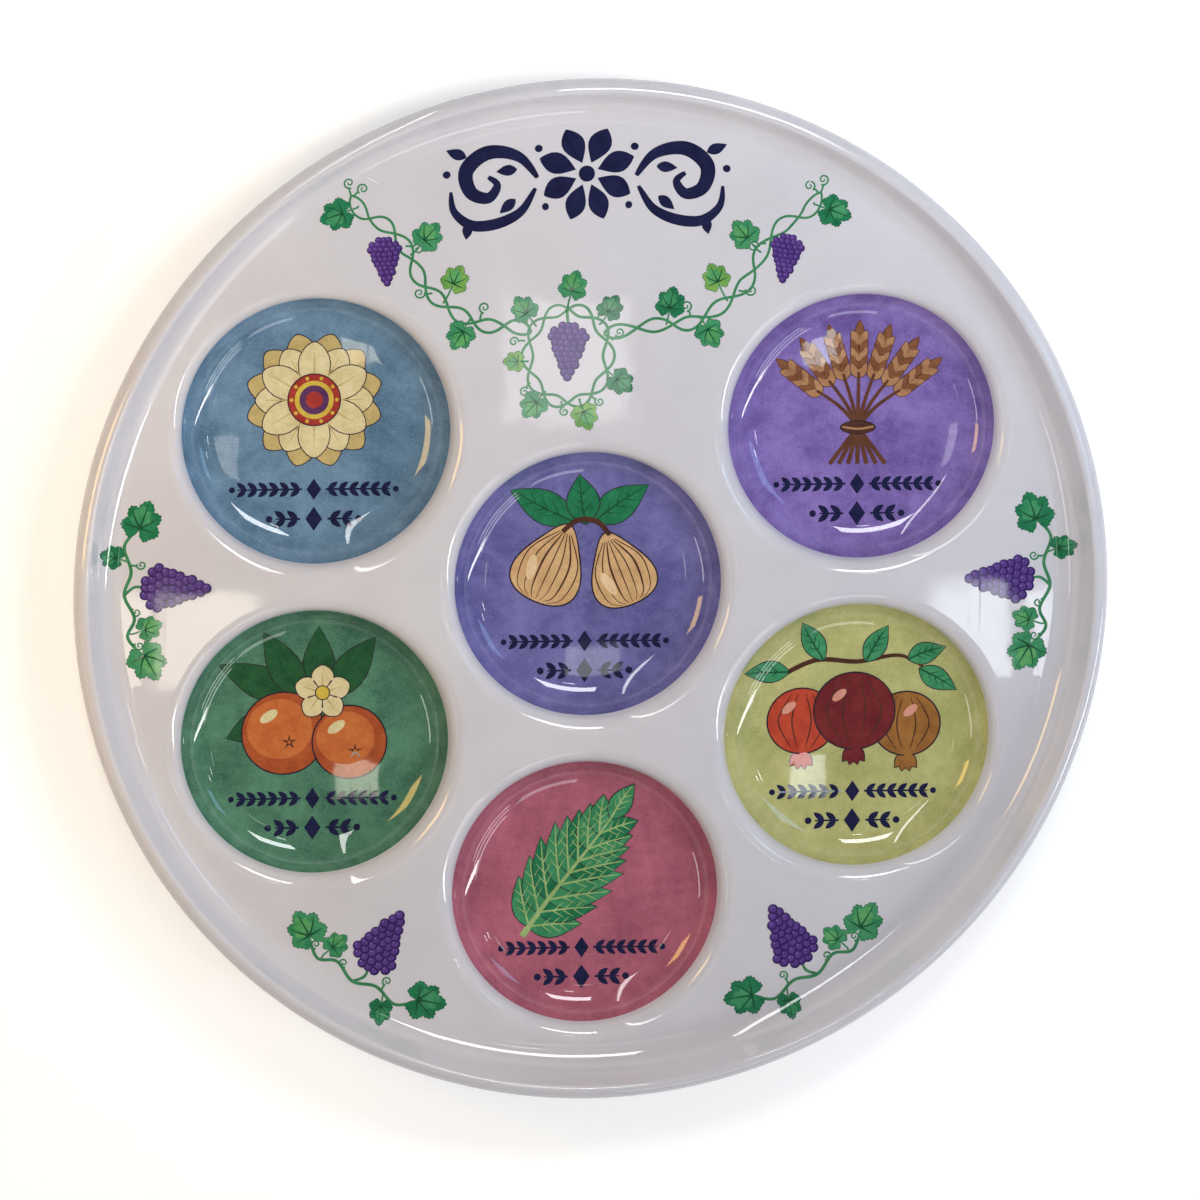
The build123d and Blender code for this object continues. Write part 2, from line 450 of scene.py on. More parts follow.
def smooth_path(knots, step=0.8):
    """A curve through knots, as points about a step apart."""
    path = []
    for number in range(len(knots) - 1):
        four = [Vector(knots[min(max(number + k, 0), len(knots) - 1)]) for k in (-1, 0, 1, 2)]
        count = max(2, round((four[2] - four[1]).length / step))
        for piece in range(count):
            t = piece / count
            swing = (four[2] - four[0]) * t + (2 * four[0] - 5 * four[1] + 4 * four[2] - four[3]) * t * t
            swing += (3 * four[1] - four[0] - 3 * four[2] + four[3]) * t ** 3
            path.append(tuple(four[1] + swing / 2))
    path.append(tuple(knots[-1]))
    return path


def moved(points, spot, angle=0.0, size=1.0, flip=1):
    """Points of a drawing, mirrored, scaled, turned by an angle in degrees and set at a spot."""
    cos = math.cos(math.radians(angle)) * size
    sin = math.sin(math.radians(angle)) * size
    return [(spot[0] + x * cos - flip * y * sin, spot[1] + x * sin + flip * y * cos) for x, y in points]


def round_outline(wide, tall=None, count=20):
    """An oval about the origin."""
    tall = tall or wide
    turns = [2 * math.pi * step / count for step in range(count)]
    return [(wide * math.cos(turn), tall * math.sin(turn)) for turn in turns]


def petal_outline(length, width, belly=1.0, point=1.0, count=12):
    """A petal from the origin along X, fuller near its tip with more belly, and rounder with less point."""
    sides = []
    for step in range(count + 1):
        along = (1 - math.cos(math.pi * step / count)) / 2
        swell = max(0.0, math.sin(math.pi * along ** belly)) ** point
        sides.append((along * length, width / 2 * swell))
    return sides[:-1] + [(x, -y) for x, y in reversed(sides[1:])]


def lay_shape(foil, outline, spot, lift, ink, angle=0.0, size=1.0, middle=(0, 0), edge=0.0, line="outline"):
    """A drawing's outline set at a spot and filled with ink, with a dark line round it if asked."""
    centre = moved([middle], spot, angle, size)[0]
    shape = moved(outline, spot, angle, size)
    if edge:
        grown = []
        for x, y in shape:
            gap = math.dist(centre, (x, y))
            grown.append((x + (x - centre[0]) * edge / gap, y + (y - centre[1]) * edge / gap))
        lay_patch(foil, centre, grown, lift - line_step, line)
    lay_patch(foil, centre, shape, lift, ink)


def lay_leaf(foil, spot, angle, length, width, lift, ink, vein, belly=0.8):
    """A pointed leaf with a dark edge, a midrib and side veins."""
    outline = petal_outline(length, width, belly)
    lay_shape(foil, outline, spot, lift, ink, angle, middle=(length * 0.45, 0), edge=0.28)
    rib = moved(smooth_path([(0, 0), (length * 0.5, width * 0.04), (length * 0.94, 0)], 1.2), spot, angle)
    lay_stroke(foil, rib, (0.5, 0.5, 0.15), lift + line_step, vein)
    for share in (0.25, 0.42, 0.6):
        for side in (-1, 1):
            knots = [(share * length, 0), ((share + 0.17) * length, side * width * 0.30)]
            lay_stroke(foil, moved(knots, spot, angle), (0.32, 0.28, 0.1), lift + 0.01, vein)


def lay_band(foil, middle, pairs, leaf):
    """A printed band below the picture: a lozenge between two laurel twigs."""
    lift = 0.05
    lozenge = [(0.9 * leaf, 0), (0, 0.62 * leaf), (-0.9 * leaf, 0), (0, -0.62 * leaf)]
    lay_shape(foil, lozenge, middle, lift, "navy", 90)
    for side in (-1, 1):
        shares = (1.0, 1.0 + 0.45 * pairs, 1.0 + 0.9 * pairs)
        twig = [(middle[0] + side * share * leaf, middle[1]) for share in shares]
        lay_stroke(foil, twig, (0.6, 0.6, 0.4), lift, "navy")
        for number in range(pairs):
            root = (middle[0] + side * (1.2 + 0.9 * number) * leaf, middle[1])
            for lean in (-38, 38):
                angle = lean if side > 0 else 180 - lean
                blade = petal_outline(leaf, 0.46 * leaf, 0.9, 0.8, 6)
                lay_shape(foil, blade, root, lift + 0.014, "navy", angle, middle=(leaf / 2, 0))
        bud = (middle[0] + side * (1.5 + 0.9 * pairs) * leaf, middle[1])
        lay_shape(foil, round_outline(0.26 * leaf, count=10), bud, lift, "navy")


def draw_rosette(foil):
    """A cream blossom with two rows of petals and a banded heart."""
    heart = (0, 7)
    rows = ((17.5, 8.6, 15, 0.03, "cream_shade"), (15.0, 8.0, 0, 0.065, "cream"))
    for length, width, start, lift, ink in rows:
        petal = petal_outline(length, width, 1.4, 0.6)
        for step in range(12):
            level = lift + 0.016 * (step % 2) + 0.0004 * step
            lay_shape(foil, petal, heart, level, ink, start + 30 * step, middle=(length / 2, 0), edge=0.3)
    for step in range(12):
        rib = moved([(4, 0), (8, 0), (12.5, 0)], heart, 30 * step)
        lay_stroke(foil, rib, (0.5, 0.4, 0.1), 0.10, "cream_shade")
    for number, (radius, ink) in enumerate(((6.6, "red"), (5.0, "gold"), (3.8, "plum"), (2.2, "red"))):
        lay_shape(foil, round_outline(radius, count=32), heart, 0.12 + 0.01 * number, ink, edge=0.3)
    for step in range(10):
        dot = moved([(5.8, 0)], heart, 36 * step)[0]
        lay_shape(foil, round_outline(0.5, count=8), dot, 0.16, "gold")


def lay_grain(foil, outline, root, lift, ink, angle):
    """One grain of an ear, a little above its stalk."""
    lay_shape(foil, outline, root, lift + 0.004, ink, angle, middle=(2, 0), edge=0.22, line="bark")


def draw_sheaf(foil):
    """A tied sheaf of ripe ears."""
    tie = (0, -1.5)
    for number, lean in enumerate((-48, 48, -32, 32, -16, 16, 0)):
        tip = moved([(14.5, 0)], tie, 90 - lean)[0]
        knee = moved([(7, 0)], tie, 90 - lean * 0.85)[0]
        stalk = smooth_path([(-lean * 0.15, -11), tie, knee, tip], 1.0)
        lift = 0.03 + 0.012 * number
        lay_stroke(foil, stalk, (1.1, 1.2, 0.7), lift, "straw_dark")
        way = 90 - lean * 1.08
        for pair in range(5):
            root = moved([(pair * 2.1 - 1.5, 0)], tip, way)[0]
            for side in (-1, 1):
                ink = "straw" if pair % 2 else "straw_pale"
                lay_grain(foil, petal_outline(4.4, 2.3, 0.85, 0.9, 8), root, lift, ink, way + side * 27)
        end = moved([(8.6, 0)], tip, way)[0]
        lay_grain(foil, petal_outline(5, 2.2, 0.8, 0.9, 8), end, lift, "straw", way)
    lay_shape(foil, round_outline(4.4, 1.6), tie, 0.14, "bark", edge=0.3)
    cord = smooth_path([(-4, tie[1] + 0.2), (0, tie[1] - 0.4), (4, tie[1] + 0.2)], 1)
    lay_stroke(foil, cord, (0.5, 0.5, 0.5), 0.16, "straw_pale")


def draw_figs(foil):
    """Two ripe figs on a leafy twig."""
    leaves = ((152, 19, (-3, 15)), (35, 17, (2, 15)), (98, 13, (0, 14.5)))
    for number, (angle, length, spot) in enumerate(leaves):
        lay_leaf(foil, spot, angle, length, 8.5, 0.03 + 0.016 * number, "leaf_dark", "leaf_line")
    for number, (spot, angle, size) in enumerate((((-9.5, 2.5), 66, 1.0), ((9.5, 1.0), 112, 0.92))):
        body = []
        for step in range(40):
            turn = 2 * math.pi * step / 40
            swell = 9.4 + 3.4 * math.cos(turn) ** 3 * (1 if math.cos(turn) > 0 else 0.2)
            body.append((swell * math.cos(turn), 8.8 * math.sin(turn) * (1 - 0.28 * math.cos(turn))))
        lift = 0.08 + 0.02 * number
        lay_shape(foil, body, spot, lift, "tan", angle, size, edge=0.4)
        for side in (-0.75, -0.5, -0.25, 0.0, 0.25, 0.5, 0.75):
            knots = [(10.5, side * 2.2), (3, side * 9.2), (-5.5, side * 8.6), (-8.2, side * 4)]
            line = moved(smooth_path(knots, 1.0), spot, angle, size)
            belly = 0.9 if side in (-0.5, 0.25) else 0.5
            lay_stroke(foil, line, (0.2, belly, 0.1), lift + line_step, "bark")
        glint = moved([(-1, 4.4)], spot, angle, size)[0]
        lay_shape(foil, round_outline(3.4, 1.3), glint, lift + 0.024, "tan_pale", angle + 12)
    twig = smooth_path([(-6, 12.5), (-2, 15.5), (3, 15), (6.2, 11.5)], 1.0)
    lay_stroke(foil, twig, (1.2, 1.6, 1.2), 0.14, "bark")


def draw_oranges(foil):
    """Two round fruits, dark leaves and a pale blossom."""
    leaves = (
        (155, 22.6, (-4, 10)),
        (120, 20.6, (-2.5, 10)),
        (90, 19, (1.5, 10)),
        (55, 20, (4.5, 10)),
        (200, 15, (-8, 5)),
    )
    for number, (angle, length, spot) in enumerate(leaves):
        lay_leaf(foil, spot, angle, length, 8.4, 0.03 + 0.016 * (number % 2), "leaf_deep", "leaf_line")
    for number, (spot, radius) in enumerate((((-7.5, 1.0), 10.6), ((9.5, -1.5), 9.4))):
        lift = 0.08 + 0.02 * number
        lay_shape(foil, round_outline(radius, count=44), spot, lift, "orange", edge=0.4)
        lit = (spot[0] - 1.0, spot[1] + 1.1)
        lay_shape(foil, round_outline(radius * 0.80, radius * 0.74, 32), lit, lift + 0.008, "orange_pale")
        glint = (spot[0] - radius * 0.36, spot[1] + radius * 0.42)
        lay_shape(foil, round_outline(2.6, 1.3), glint, lift + 0.016, "cream", 35)
        for step in range(5):
            ray = moved([(0.4, 0), (1.9, 0)], (spot[0] + 1.5, spot[1] - 2.4), 72 * step + 20)
            lay_stroke(foil, ray, (0.7, 0.5, 0.15), lift + 0.02, "bark")
    flower = (2.5, 11.5)
    petal = petal_outline(7.2, 5.6, 1.3, 0.6)
    for step in range(5):
        angle = 72 * step + 18
        lay_shape(foil, petal, flower, 0.13 + 0.003 * step, "cream", angle, middle=(3.6, 0), edge=0.3)
        fold = moved([(1.5, 0), (4.0, 0)], flower, angle + 36)
        lay_stroke(foil, fold, (0.2, 0.3, 0.4), 0.155, "outline")
        rib = moved([(2.0, 0), (5.2, 0)], flower, angle)
        lay_stroke(foil, rib, (0.5, 0.4, 0.1), 0.155, "cream_shade")
    lay_shape(foil, round_outline(1.7, count=14), flower, 0.18, "gold", edge=0.3)


def draw_pomegranates(foil):
    """Three crowned red fruits on a branch."""
    branch = smooth_path([(-20, 14), (-10, 18.5), (1, 18), (12, 19.5), (20, 15)], 1.0)
    lay_stroke(foil, branch, (1.2, 1.5, 0.6), 0.03, "bark")
    leaves = (
        (178, 12, (-17, 15.5)),
        (120, 12, (-8, 18.5)),
        (60, 11, (3, 18)),
        (22, 10, (14, 18.5)),
        (-30, 11, (17, 16)),
    )
    for angle, length, spot in leaves:
        lay_leaf(foil, spot, angle, length, 5.6, 0.05, "leaf_mid", "leaf_line")
    fruits = (
        ((-13.5, 2.5), 8.8, "scarlet", -0.38),
        ((13.8, 1.5), 8.6, "amber", 0.12),
        ((0.2, 5.0), 10.4, "wine", -0.38),
    )
    for number, (spot, radius, ink, glint_side) in enumerate(fruits):
        lift = 0.08 + 0.024 * number
        top = (spot[0], spot[1] - radius * 0.93)
        crown = petal_outline(4.6, 2.6, 0.8, 1.0, 8)
        for step, lean in enumerate((-38, -13, 13, 38)):
            level = lift - 0.014 + 0.002 * step
            lay_shape(foil, crown, top, level, ink, 270 + lean, middle=(2.2, 0), edge=0.3)
        lay_shape(foil, round_outline(radius, radius * 0.96, 40), spot, lift, ink, edge=0.4)
        for side in (-0.6, -0.25, 0.25, 0.6):
            knots = [(0.5 * side, 0.8), (1.15 * side, 0), (0.5 * side, -0.8)]
            rib = moved(smooth_path(knots, 1.0 / radius), spot, 0, radius)
            lay_stroke(foil, rib, (0.15, 0.6, 0.15), lift + 0.006, "bark")
        glint = (spot[0] + radius * glint_side, spot[1] + radius * 0.40)
        lay_shape(foil, round_outline(2.2, 1.1), glint, lift + 0.02, "blush", 40)


def draw_sprig(foil):
    """A leafy sprig with pale midribs, leaning across the well."""
    stem = smooth_path([(-15.5, -13), (-10, -5), (-3.5, 3.5), (3, 12), (8, 19)], 1.0)
    lay_stroke(foil, stem, (1.7, 1.6, 0.7), 0.03, "leaf_pale")
    for number in range(8):
        share = 0.10 + 0.105 * number
        root = stem[int(share * (len(stem) - 1))]
        length = 17.5 - 1.15 * abs(number - 2.5) * 1.35
        for side in (-1, 1):
            angle = 52 + side * (50 - 2.5 * number)
            lift = 0.04 + 0.015 * number + (0.004 if side > 0 else 0)
            ink = "leaf_mid" if (number + side) % 3 else "leaf_dark"
            lay_leaf(foil, root, angle, length, 6.4, lift, ink, "leaf_pale", 0.75)
    lay_leaf(foil, stem[-3], 58, 11, 5.6, 0.165, "leaf_mid", "leaf_pale", 0.75)
    lay_stroke(foil, stem[3:-2], (1.3, 0.9, 0.4), 0.185, "leaf_pale")


inks = {
    "outline": ((58, 46, 58), (40, 32, 44)),
    "navy": ((34, 37, 78), (22, 24, 60)),
    "cream": ((236, 226, 184), (214, 198, 146)),
    "cream_shade": ((212, 192, 132), (186, 164, 108)),
    "red": ((186, 70, 60), (158, 50, 46)),
    "gold": ((224, 198, 86), (204, 172, 62)),
    "plum": ((104, 62, 110), (82, 46, 92)),
    "straw": ((150, 98, 66), (120, 74, 50)),
    "straw_pale": ((196, 150, 108), (166, 116, 80)),
    "straw_dark": ((112, 70, 50), (92, 56, 42)),
    "bark": ((92, 56, 42), (70, 42, 36)),
    "tan": ((228, 190, 140), (204, 160, 112)),
    "tan_pale": ((244, 218, 178), (230, 196, 150)),
    "orange": ((190, 98, 54), (158, 74, 42)),
    "orange_pale": ((214, 126, 68), (192, 100, 54)),
    "scarlet": ((206, 84, 58), (180, 62, 46)),
    "wine": ((132, 48, 50), (104, 34, 40)),
    "amber": ((176, 122, 62), (142, 92, 48)),
    "blush": ((232, 168, 148), (214, 140, 122)),
    "leaf_mid": ((80, 162, 112), (46, 130, 86)),
    "leaf_dark": ((46, 138, 94), (28, 106, 70)),
    "leaf_deep": ((48, 102, 62), (32, 78, 50)),
    "leaf_pale": ((176, 204, 140), (140, 176, 108)),
    "leaf_light": ((110, 182, 112), (66, 148, 90)),
    "leaf_line": ((34, 94, 62), (27, 76, 52)),
    "leaf_bright": ((138, 186, 92), (92, 154, 78)),
    "vine_stem": ((76, 150, 104), (54, 124, 82)),
    "grape": ((100, 70, 150), (80, 52, 128)),
    "grape_dark": ((66, 42, 108), (50, 30, 88)),
    "grape_glint": ((142, 114, 182), (120, 92, 164)),
}
ink_materials = {}


def make_foil(name, foil, paper, centre=(0, 0)):
    """A foil as one piece: its paper and the inks on it, each with a material of its own."""
    used = sorted(set(foil["inks"]) - {"paper"})
    for ink in used:
        if ink not in ink_materials:
            ink_materials[ink] = glazed("ink_" + ink, *inks[ink], 0.22, 0.35)
    order = {"paper": 0, **{ink: number + 1 for number, ink in enumerate(used)}}
    points = [(x + centre[0], y + centre[1], z) for x, y, z in foil["points"]]
    materials = [paper] + [ink_materials[ink] for ink in used]
    return make_piece(name, points, foil["faces"], materials, [order[ink] for ink in foil["inks"]])


wells = {
    "blue": (draw_rosette, (122, 156, 188), (82, 114, 142)),
    "purple": (draw_sheaf, (150, 128, 200), (106, 84, 154)),
    "indigo": (draw_figs, (129, 125, 187), (93, 91, 150)),
    "green": (draw_oranges, (97, 150, 124), (59, 104, 85)),
    "yellow": (draw_pomegranates, (206, 204, 141), (171, 172, 109)),
    "pink": (draw_sprig, (196, 114, 136), (156, 86, 106)),
}
picture_size = 1.15
bands = (((0, -18.6), 6, 3.5), ((0, -27.4), 2, 4.0))
for colour, (draw, pale, deep) in wells.items():
    foil = new_print(well_ground)
    turn_outline(foil["points"], foil["faces"], foil_face + foil_back, (0, 0), well_steps)
    foil["inks"] = ["paper"] * len(foil["faces"])
    foil["size"] = picture_size
    draw(foil)
    foil["size"] = 1.0
    for middle, pairs, leaf in bands:
        lay_band(foil, middle, pairs, leaf)
    paper = glazed("wash_" + colour, pale, deep, 0.07, 0.5)
    piece = make_foil("well_print_" + colour, foil, paper, well_centres[colour])
    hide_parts("well_foil_" + colour)


# Heading foil: a clear printed film in the top of the deck, where the plate has no well. It is
# pressed in flush like the others, so only the print shows: a rosette between leafy scrolls.
film_lift = 0.03
heading_inner = 110.0
heading_outer = 137.0
heading_half_span = 19.5
heading_middle = 123.0
heading_shift = 2.0
heading_rows = 40


def deck_ground(x, y):
    """The height and the lean of the deck and the rim's cove at a place measured from the middle."""
    lean = math.asin(min(steepest, max(0.0, math.hypot(x, y) - deck_radius) / cove_round))
    return deck_top + film_lift + cove_round * (1 - math.cos(lean)), lean


def lay_film(foil, rows):
    """The film itself: a closed skin over rows of places from one side of the foil to the other."""
    starts = []
    across = len(rows[0])
    for level in (0.0, -film_lift * 0.9):
        starts.append(len(foil["points"]))
        for row in rows:
            foil["points"] += [lifted(foil, x, y, level) for x, y in row]
    top, bottom = starts
    for number in range(len(rows) - 1):
        for step in range(across - 1):
            for start in starts:
                low = start + number * across + step
                add_face(foil, "paper", low, low + 1, low + across + 1, low + across)
    edge = list(range(across))
    edge += [number * across + across - 1 for number in range(1, len(rows))]
    edge += [(len(rows) - 1) * across + step for step in reversed(range(across - 1))]
    edge += [number * across for number in reversed(range(1, len(rows) - 1))]
    for one, other in zip(edge, edge[1:] + edge[:1]):
        add_face(foil, "paper", top + one, top + other, bottom + other, bottom + one)


def along_rim(x, y):
    """A place of the heading's drawing, carried on to the curve of the rim."""
    angle = math.pi / 2 - (x - heading_shift) / heading_middle
    return (heading_middle + y) * math.cos(angle), (heading_middle + y) * math.sin(angle)


def lay_motif(foil, middle, outline, lift):
    """A filled shape of the heading, bent along the rim."""
    lay_patch(foil, along_rim(*middle), [along_rim(*point) for point in outline], lift, "navy")


foil = new_print(deck_ground)
rows = []
for step in range(heading_rows + 1):
    angle = 90 - heading_half_span + 2 * heading_half_span * step / heading_rows
    radii = [heading_inner + (heading_outer - heading_inner) * part / 3 for part in range(4)]
    rows.append([polar(radius, angle) for radius in radii])
lay_film(foil, rows)
for step in range(8):
    lean = 45 * step + 22.5
    root, heart = moved([(3.4, 0), (9.5, 0)], (0, 0), lean)
    lay_motif(foil, heart, moved(petal_outline(11.0, 6.4, 1.2, 0.85), root, lean), 0.03)
lay_motif(foil, (0, 0), round_outline(2.4), 0.03)
upper = ((14.5, 0), (19, 7), (27, 10), (34, 6.5), (34.5, 0), (30, -3), (26.5, 0), (28.5, 3))
lower = ((15.5, -3), (21, -9), (29, -11), (37, -9.5), (41, -4), (40, 2))
leaves = ((20, 3.4, 5, 6), (22, -5.2, -28, 6.5), (33, 10.2, 40, 6), (38, -8.5, -60, 5))
for side in (-1, 1):
    for knots, widths, lift in ((upper, (1.2, 7.6, 1.2), 0.03), (lower, (1.0, 5.6, 0.8), 0.05)):
        scroll = smooth_path([(side * x, y) for x, y in knots], 0.8)
        lay_stroke(foil, [along_rim(x, y) for x, y in scroll], widths, lift, "navy")
    for x, y, angle, length in leaves:
        blade = moved(petal_outline(length, 3.2, 0.8), (x, y), angle)
        heart = moved([(length * 0.45, 0)], (x, y), angle)[0]
        lay_motif(foil, (side * heart[0], heart[1]), [(side * px, py) for px, py in blade], 0.07)
    for x, y in ((13.2, 8.5), (13.2, -8.8), (39.5, 7.2)):
        lay_motif(foil, (side * x, y), moved(round_outline(1.1, count=14), (side * x, y)), 0.07)
piece = make_foil("heading_print", foil, plate_white)
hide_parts("heading_foil")


# Garland foil: the same clear film, below the heading, printed with a swag of grapevine. Two green
# stems wind round each other past both sides of the heading and make a wreath round a bunch.
foil_gap = 1.0
film_middle = (0, 69)
film_round = 27
limb_half_width = 15
limb_end_radius = 132
limb_end_angle = 56
heading_clear_span = 20
cove_edge_radius = 145.3
film_step = 0.25
film_rows = 720
stem_lift = 0.03
stem_step = 0.014
stem_width = 0.85
stalk_lift = 0.05
stalk_widths = (0.9, 0.9, 0.7)
curl_lift = 0.06
leaf_lift = 0.08
leaf_lobes = ((0, 1.03), (50, 0.88), (106, 0.86), (152, 0.78))
leaf_notches = ((29, 0.72), (80, 0.64), (133, 0.74), (180, 0.24))
leaf_teeth = 30
leaf_veins = ((0, 0.90), (50, 0.76), (-50, 0.76), (106, 0.68), (-106, 0.68))


def vine_leaf_outline():
    """A grapevine leaf about its middle: toothed lobes between rounded notches, with its tip along X."""
    outline = []
    for step in range(120):
        angle = 3 * step - 180
        spread = abs(angle)
        lobe = min(leaf_lobes, key=lambda place: abs(place[0] - spread))
        notches = [place for place in leaf_notches if (place[0] > lobe[0]) == (spread > lobe[0])]
        notch = min(notches, key=lambda place: abs(place[0] - lobe[0]), default=leaf_notches[0])
        share = min(1.0, abs(spread - lobe[0]) / abs(notch[0] - lobe[0]))
        reach = lobe[1] + (notch[1] - lobe[1]) * share ** 1.4
        reach += 0.03 * math.cos(math.radians(leaf_teeth * angle))
        outline.append(polar(reach, angle))
    return outline


leaf_blush = {"leaf_dark": "leaf_mid", "leaf_mid": "leaf_light", "leaf_bright": "leaf_light"}


def lay_vine_leaf(foil, spot, angle, size, ink, path=None):
    """A vine leaf with fanned veins, and a stalk from its notch to the nearest place on a stem's path."""
    outline = vine_leaf_outline()
    lay_shape(foil, outline, spot, leaf_lift, ink, angle, size, edge=0.16, line="leaf_line")
    blush = moved([(0.22 * size, 0.10 * size)], spot, angle)[0]
    lay_shape(foil, outline, blush, leaf_lift + 0.008, leaf_blush[ink], angle + 8, 0.55 * size)
    for lobe, reach in leaf_veins:
        tip = polar(reach, lobe)
        bow = (tip[0] * 0.5 - 0.10, tip[1] * 0.5 * 1.15)
        vein = moved(smooth_path([(-0.2, 0), bow, tip], 0.1), spot, angle, size)
        lay_stroke(foil, vein, (0.09 * size, 0.08 * size, 0.02 * size), leaf_lift + 0.02, "leaf_line")
    if path:
        base, bend = moved([(-0.25 * size, 0), (-1.05 * size, 0)], spot, angle)
        foot = min(path, key=lambda place: math.dist(place, bend))
        lay_stroke(foil, smooth_path([base, bend, foot], 0.5), (0.5, 0.5, 0.6), curl_lift, "vine_stem")


grape_rows = (3, 5, 6, 5, 5, 4, 3, 3, 2, 1)
grape_row_gap = 1.42
grape_gap = 1.62


def lay_bunch(foil, spot, angle, grape):
    """A bunch of grapes that narrows along an angle from its shoulders to its tip."""
    number = 0
    for row, count in enumerate(grape_rows):
        for place in range(count):
            wobble = math.sin(7.1 * number + 2.3 * row)
            x = row * grape_row_gap * grape + 0.22 * grape * wobble
            y = (place - (count - 1) / 2) * grape_gap * grape + 0.2 * grape * math.cos(5.3 * number)
            middle = moved([(x, y)], spot, angle)[0]
            level = curl_lift + 0.002 * number
            lay_shape(foil, round_outline(grape * 1.1, count=12), middle, level, "grape_dark")
            lit = (middle[0] - 0.10 * grape, middle[1] + 0.12 * grape)
            lay_shape(foil, round_outline(grape * 0.78, count=12), lit, level + 0.0012, "grape")
            glint = (middle[0] - 0.32 * grape, middle[1] + 0.36 * grape)
            lay_shape(foil, round_outline(grape * 0.2, count=8), glint, level + 0.0016, "grape_glint")
            number += 1


def lay_stems(foil, path, waves, swing):
    """Two stems that wind round each other along a path."""
    widths = (stem_width, stem_width, stem_width * 0.8)
    for number, phase in enumerate((0.0, math.pi)):
        stem = []
        for step, (x, y) in enumerate(path):
            way = way_along(path, step)
            share = step / (len(path) - 1)
            sway = swing * math.sin(2 * math.pi * waves * share + phase)
            stem.append((x - sway * way.y, y + sway * way.x))
        lay_stroke(foil, stem, widths, stem_lift + stem_step * number, "vine_stem")


def lay_tendril(foil, spot, angle, size, flip=1):
    """A thin curl that ends in a spiral."""
    curl = [(0, 0), (1.2 * size, 0.5 * size)]
    for step in range(15):
        turn = 0.62 * step - 1.2
        reach = size * (1.15 - 0.07 * step)
        curl.append((2.2 * size + reach * math.sin(turn), 1.3 * size - reach * math.cos(turn)))
    path = smooth_path(moved(curl, spot, angle, 1.0, flip), 0.4)
    lay_stroke(foil, path, (0.6, 0.5, 0.35), curl_lift, "vine_stem")


def in_garland(x, y):
    """Whether a place is on the garland's film: a round with a limb to each side, clear of the rest."""
    end = polar(limb_end_radius, limb_end_angle)
    limb = (end[0] - film_middle[0], end[1] - film_middle[1])
    along = (abs(x) * limb[0] + (y - film_middle[1]) * limb[1]) / (limb[0] ** 2 + limb[1] ** 2)
    along = min(1.0, max(0.0, along))
    off_limb = math.hypot(abs(x) - along * limb[0], y - film_middle[1] - along * limb[1])
    inside = math.dist((x, y), film_middle) < film_round or off_limb < limb_half_width
    gaps = [math.dist((x, y), centre) for centre in well_centres.values()]
    off_wells = min(gaps) > mouth_radius + foil_gap
    radius = math.hypot(x, y)
    past_heading = abs(math.atan2(x, y)) > math.radians(heading_clear_span)
    off_heading = radius < heading_inner - foil_gap or past_heading
    return inside and off_wells and off_heading and radius < cove_edge_radius


foil = new_print(deck_ground)
rows = []
for number in range(film_rows + 1):
    way = Vector(polar(1.0, 360 * number / film_rows))
    reach = 0.0
    while in_garland((reach + film_step) * way.x, film_middle[1] + (reach + film_step) * way.y):
        reach += film_step
    rise = film_middle[1] * way.y
    flat = math.sqrt(rise ** 2 - film_middle[1] ** 2 + deck_radius ** 2) - rise
    if flat > reach - 2 * film_step:
        flat = 0.8 * reach
    places = [flat * (0.02 + 0.98 * step / 6) for step in range(7)]
    places += [flat + (reach - flat) * step / 16 for step in range(1, 17)]
    rows.append([(place * way.x, film_middle[1] + place * way.y) for place in places])
lay_film(foil, rows)

wreath = (-7.0, 69.0)
wreath_wide = 12.0
wreath_tall = 14.0
wreath_steps = 120
ring = []
for step in range(wreath_steps + 1):
    turn = 2 * math.pi * step / wreath_steps
    ring.append((wreath[0] + wreath_wide * math.sin(turn), wreath[1] + wreath_tall * math.cos(turn)))
lay_stems(foil, ring, 5, 1.7)
leaves = (
    (-5.8, 89.3, 75, 5.0, "leaf_mid"),
    (5.2, 82.8, 60, 4.4, "leaf_dark"),
    (8.2, 61.5, 320, 4.6, "leaf_dark"),
    (-2.0, 51.6, 290, 4.7, "leaf_bright"),
    (-16.8, 54.8, 230, 4.8, "leaf_mid"),
    (-22.4, 67.5, 180, 3.6, "leaf_bright"),
    (-19.8, 82.6, 125, 4.7, "leaf_mid"),
)
for x, y, angle, size, ink in leaves:
    lay_vine_leaf(foil, (x, y), angle, size, ink, ring)
for angle in (20, 52, 160, 215, 262, 300):
    lay_tendril(foil, moved([(13.5, 0)], wreath, angle)[0], angle - 6, 1.3)
lay_bunch(foil, (wreath[0], wreath[1] + 9.0), 270, 1.2)
stalk = smooth_path([(wreath[0] - 0.5, wreath[1] + wreath_tall), (wreath[0], wreath[1] + 8.5)], 0.8)
lay_stroke(foil, stalk, stalk_widths, stalk_lift, "vine_stem")
garland_shift = 2
limb_knots = ((21, 78.0), (31, 78.5), (40, 83.5), (48, 91), (52, 100), (58, 107.5), (65, 111), (69, 117))
